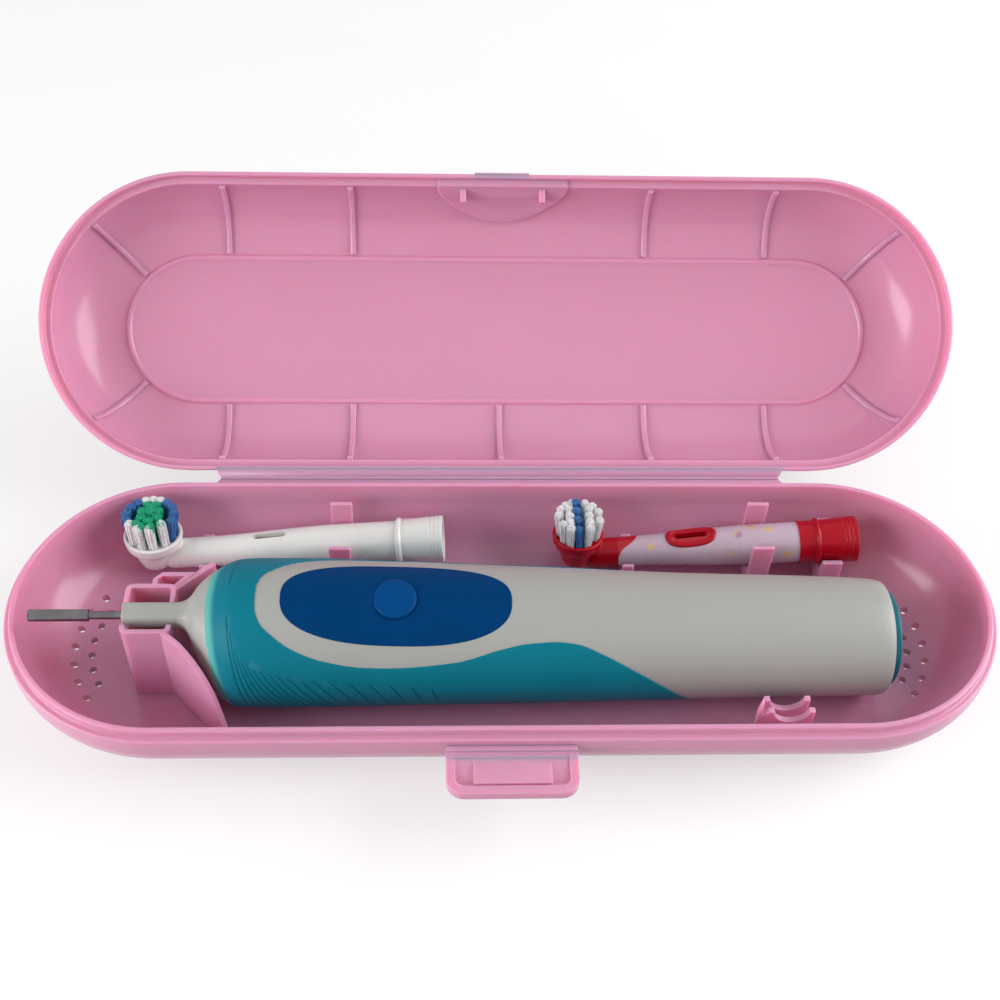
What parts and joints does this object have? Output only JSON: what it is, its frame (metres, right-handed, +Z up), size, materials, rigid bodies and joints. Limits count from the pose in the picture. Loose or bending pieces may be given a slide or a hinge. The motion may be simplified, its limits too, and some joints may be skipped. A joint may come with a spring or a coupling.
{
  "type": "electric toothbrush travel case",
  "caption": "Open clamshell travel case with latch, drain holes and seats, holding a rechargeable toothbrush handle with a push button and oscillating brush heads.",
  "frame": {"origin": "centre of the base's flat underside", "axes": "+X along the case towards the handle's tail, +Y towards the lid's hinge, +Z up"},
  "size_m": [0.235, 0.1551, 0.0711],
  "materials": {
    "pink_plastic": "satin injection-moulded polypropylene",
    "white_plastic": "fine satin",
    "teal_grip": "soft-touch elastomer with curved grooves",
    "teal_plastic": "satin",
    "blue_plastic": "soft-touch satin",
    "red_plastic": "gloss",
    "lilac_plastic": "satin",
    "bristle_nylon": "fine filaments",
    "steel": "turned",
    "contact_metal": "plain",
    "cell_can": "printed sleeve",
    "board": "lacquered laminate",
    "grey_plastic": "plain",
    "black_rubber": "plain",
    "black_plastic": "plain"
  },
  "bodies": {
    "case_base": {"base_shell": "pink_plastic", "neck_cradle": "pink_plastic", "front_saddle": "pink_plastic", "white_neck_seat": "pink_plastic", "white_clip": "pink_plastic", "white_collar_seat": "pink_plastic", "red_neck_seat": "pink_plastic", "red_clip": "pink_plastic", "red_collar_seat": "pink_plastic"},
    "lid": {"lid_shell": "pink_plastic"},
    "latch": {"latch_flap": "pink_plastic"},
    "handle": {"handle_housing": "white_plastic", "grip_sleeve": "teal_grip", "switch_panel": "blue_plastic", "base_cap": "teal_plastic", "cap_seal": "black_rubber", "shaft_seal": "black_rubber", "shaft_bush": "grey_plastic", "inner_frame": "grey_plastic", "drive_motor": "steel", "battery_cell": "cell_can", "front_contact": "contact_metal", "rear_contact": "contact_metal", "circuit_board": "board", "push_switch": "black_plastic", "control_chip": "black_plastic", "charging_coil": "contact_metal", "coil_core": "black_plastic"},
    "button": {"power_button": "blue_plastic"},
    "shaft": {"drive_shaft": "steel", "rocker_arm": "grey_plastic"},
    "crank": {"motor_crank": "steel"},
    "white_head": {"white_cup": "white_plastic", "white_sleeve": "white_plastic", "white_end_ring": "white_plastic", "white_link_rod": "steel"},
    "white_brush": {"white_brush_disc": "white_plastic", "white_bristles": "bristle_nylon"},
    "red_head": {"red_cup": "red_plastic", "red_sleeve": "lilac_plastic", "red_end_ring": "red_plastic", "red_link_rod": "steel"},
    "red_brush": {"red_brush_disc": "red_plastic", "red_bristles": "bristle_nylon"}
  },
  "joints": [
    {"name": "lid_hinge", "type": "hinge", "parent": "case_base", "child": "lid", "pos_m": [0, 0.0399, 0.02], "axis": [1, 0, 0], "range_deg": [-41, 138.9]},
    {"name": "latch_hinge", "type": "hinge", "parent": "case_base", "child": "latch", "pos_m": [0, -0.0394, 0.0178], "axis": [-1, 0, 0], "range_deg": [-70, 90]},
    {"name": "handle_lift", "type": "slide", "parent": "case_base", "child": "handle", "axis": [0, 0, 1], "range_m": [0, 0.08]},
    {"name": "button_press", "type": "slide", "parent": "handle", "child": "button", "axis": [0, 0.1478, -0.989], "range_m": [0, 0.0008], "stiffness_N_per_m": 800, "springref_m": -0.0005},
    {"name": "shaft_swing", "type": "hinge", "parent": "handle", "child": "shaft", "pos_m": [-0.0882, -0.0079, 0.02609], "axis": [1, 0, 0], "range_deg": [-14, 14]},
    {"name": "motor_spin", "type": "hinge", "parent": "handle", "child": "crank", "pos_m": [-0.007, -0.0079, 0.018], "axis": [1, 0, 0], "continuous": true},
    {"name": "white_head_lift", "type": "slide", "parent": "case_base", "child": "white_head", "axis": [0, 0, 1], "range_m": [0, 0.06]},
    {"name": "white_brush_turn", "type": "hinge", "parent": "white_head", "child": "white_brush", "pos_m": [-0.0874, 0.0244, 0.0082], "axis": [0, 0.1392, 0.9903], "range_deg": [-30, 30]},
    {"name": "red_head_lift", "type": "slide", "parent": "case_base", "child": "red_head", "axis": [0, 0, 1], "range_m": [0, 0.06]},
    {"name": "red_brush_turn", "type": "hinge", "parent": "red_head", "child": "red_brush", "pos_m": [0.019, 0.0244, 0.0082], "axis": [0, 0.1392, 0.9903], "range_deg": [-30, 30]}
  ]
}
